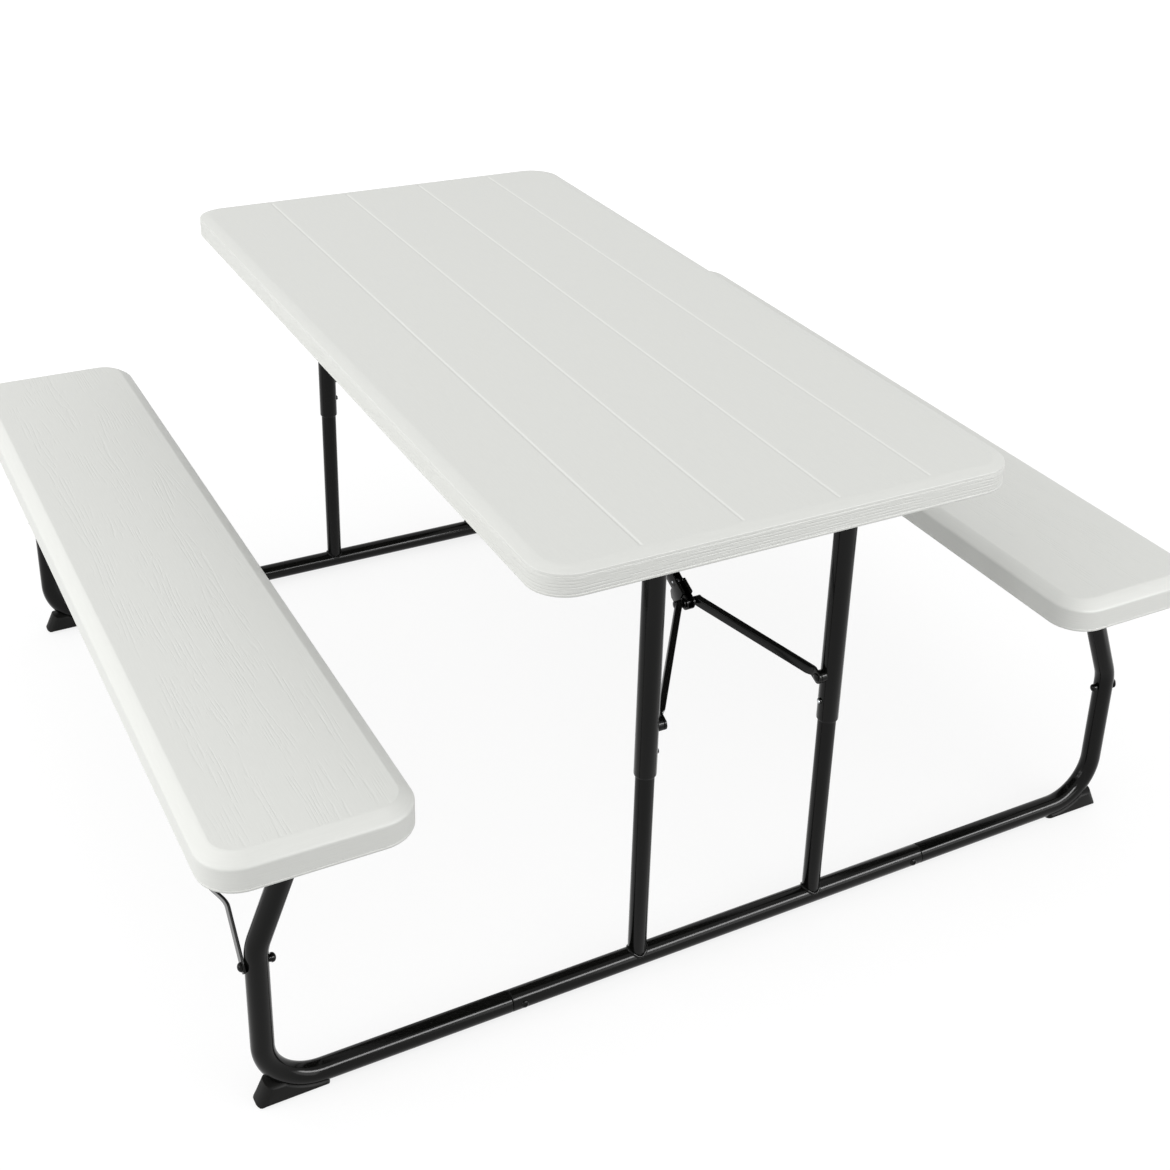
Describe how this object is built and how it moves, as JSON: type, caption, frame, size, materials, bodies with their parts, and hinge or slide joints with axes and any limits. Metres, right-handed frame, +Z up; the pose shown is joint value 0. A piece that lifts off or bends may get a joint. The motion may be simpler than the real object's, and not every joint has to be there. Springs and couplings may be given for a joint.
{
  "type": "folding_table_with_benches",
  "caption": "White plastic folding table with an attached bench on each side, on a black steel tube frame that folds flat",
  "frame": {"origin": "On the floor, under the middle of the tabletop", "axes": "+X along the table towards the near end, +Y across it towards the right bench, +Z up"},
  "size_m": [1.372, 1.458, 0.703],
  "materials": {
    "white_plastic": "moulded, matte, light wood grain",
    "black_steel": "satin black powder coat",
    "black_plastic": "moulded, matte",
    "zinc_steel": "bright zinc plate"
  },
  "bodies": {
    "table": {"tabletop": "white_plastic", "left_table_rail": "black_steel", "right_table_rail": "black_steel", "centre_crossbar": "black_steel", "near_link_pin": "zinc_steel", "far_link_pin": "zinc_steel"},
    "near_frame": {"near_top_bar": "black_steel", "near_centre_rail": "black_steel", "near_left_upper_leg": "black_steel", "near_left_lower_leg": "black_steel", "near_left_bench_leg": "black_steel", "near_left_foot": "black_plastic", "near_left_seat_pivot": "black_steel", "near_left_strut_bolt": "black_steel", "near_right_upper_leg": "black_steel", "near_right_lower_leg": "black_steel", "near_right_bench_leg": "black_steel", "near_right_foot": "black_plastic", "near_right_seat_pivot": "black_steel", "near_right_strut_bolt": "black_steel"},
    "near_vee": {"near_left_brace_arm": "black_steel", "near_right_brace_arm": "black_steel"},
    "near_brace_link": {"near_link": "black_steel", "near_knuckle_pin": "black_steel"},
    "near_lock": {"near_lock_slider": "black_steel"},
    "near_struts": {"near_left_strut": "black_steel", "near_right_strut": "black_steel"},
    "near_left_button": {"near_left_snap_button": "zinc_steel"},
    "near_right_button": {"near_right_snap_button": "zinc_steel"},
    "far_frame": {"far_top_bar": "black_steel", "far_centre_rail": "black_steel", "far_left_upper_leg": "black_steel", "far_left_lower_leg": "black_steel", "far_left_bench_leg": "black_steel", "far_left_foot": "black_plastic", "far_left_seat_pivot": "black_steel", "far_left_strut_bolt": "black_steel", "far_right_upper_leg": "black_steel", "far_right_lower_leg": "black_steel", "far_right_bench_leg": "black_steel", "far_right_foot": "black_plastic", "far_right_seat_pivot": "black_steel", "far_right_strut_bolt": "black_steel"},
    "far_vee": {"far_left_brace_arm": "black_steel", "far_right_brace_arm": "black_steel"},
    "far_brace_link": {"far_link": "black_steel", "far_knuckle_pin": "black_steel"},
    "far_lock": {"far_lock_slider": "black_steel"},
    "far_struts": {"far_left_strut": "black_steel", "far_right_strut": "black_steel"},
    "far_left_button": {"far_left_snap_button": "zinc_steel"},
    "far_right_button": {"far_right_snap_button": "zinc_steel"},
    "left_bench": {"left_seat": "white_plastic", "left_seat_rail": "black_steel"},
    "right_bench": {"right_seat": "white_plastic", "right_seat_rail": "black_steel"}
  },
  "joints": [
    {"name": "fold", "type": "hinge", "parent": "table", "child": "near_frame", "pos_m": [0.592, 0, 0.652], "axis": [0, 1, 0], "range_deg": [0, 85]},
    {"name": "far_fold", "type": "hinge", "parent": "table", "child": "far_frame", "pos_m": [-0.592, 0, 0.652], "axis": [0, 1, 0], "range_deg": [0, 85]},
    {"name": "left_bench_pivot", "type": "hinge", "parent": "near_frame", "child": "left_bench", "pos_m": [0.592, -0.6025, 0.376], "axis": [0, 1, 0], "range_deg": [-85, 0]},
    {"name": "right_bench_pivot", "type": "hinge", "parent": "near_frame", "child": "right_bench", "pos_m": [0.592, 0.6025, 0.376], "axis": [0, 1, 0], "range_deg": [-85, 0]},
    {"name": "near_vee_pivot", "type": "hinge", "parent": "near_frame", "child": "near_vee", "pos_m": [0.592, 0, 0.387], "axis": [0, 1, 0], "range_deg": [0, 74.58]},
    {"name": "far_vee_pivot", "type": "hinge", "parent": "far_frame", "child": "far_vee", "pos_m": [-0.592, 0, 0.387], "axis": [0, 1, 0], "range_deg": [-65.38, 0]},
    {"name": "near_link_pivot", "type": "hinge", "parent": "table", "child": "near_brace_link", "pos_m": [0.014, 0, 0.652], "axis": [0, 1, 0], "range_deg": [-20.43, 0]},
    {"name": "far_link_pivot", "type": "hinge", "parent": "table", "child": "far_brace_link", "pos_m": [-0.014, 0, 0.652], "axis": [0, 1, 0], "range_deg": [0, 20.43]},
    {"name": "near_strut_pivot", "type": "hinge", "parent": "near_frame", "child": "near_struts", "pos_m": [0.592, 0, 0.217], "axis": [0, 1, 0], "range_deg": [-131.59, 0]},
    {"name": "far_strut_pivot", "type": "hinge", "parent": "far_frame", "child": "far_struts", "pos_m": [-0.592, 0, 0.217], "axis": [0, 1, 0], "range_deg": [-43.42, 0]},
    {"name": "near_lock_slide", "type": "slide", "parent": "near_brace_link", "child": "near_lock", "axis": [-0.909, 0, 0.4168], "range_m": [0, 0.03]},
    {"name": "near_left_button_press", "type": "slide", "parent": "near_frame", "child": "near_left_button", "axis": [0, -1, 0], "range_m": [0, 0.004], "stiffness_N_per_m": 800},
    {"name": "near_right_button_press", "type": "slide", "parent": "near_frame", "child": "near_right_button", "axis": [0, 1, 0], "range_m": [0, 0.004], "stiffness_N_per_m": 800},
    {"name": "far_lock_slide", "type": "slide", "parent": "far_brace_link", "child": "far_lock", "axis": [0.909, 0, 0.4168], "range_m": [0, 0.03]},
    {"name": "far_left_button_press", "type": "slide", "parent": "far_frame", "child": "far_left_button", "axis": [0, -1, 0], "range_m": [0, 0.004], "stiffness_N_per_m": 800},
    {"name": "far_right_button_press", "type": "slide", "parent": "far_frame", "child": "far_right_button", "axis": [0, 1, 0], "range_m": [0, 0.004], "stiffness_N_per_m": 800}
  ],
  "couplings": [
    {"joint": "far_fold", "follows": "fold", "ratio": 1},
    {"joint": "left_bench_pivot", "follows": "fold", "ratio": -1},
    {"joint": "right_bench_pivot", "follows": "fold", "ratio": -1},
    {"joint": "near_vee_pivot", "follows": "fold", "ratio": 0.8774},
    {"joint": "far_vee_pivot", "follows": "fold", "ratio": -0.7691},
    {"joint": "near_link_pivot", "follows": "fold", "ratio": -0.2403},
    {"joint": "far_link_pivot", "follows": "fold", "ratio": 0.2403},
    {"joint": "near_strut_pivot", "follows": "fold", "ratio": -1.5481},
    {"joint": "far_strut_pivot", "follows": "fold", "ratio": -0.5108}
  ]
}
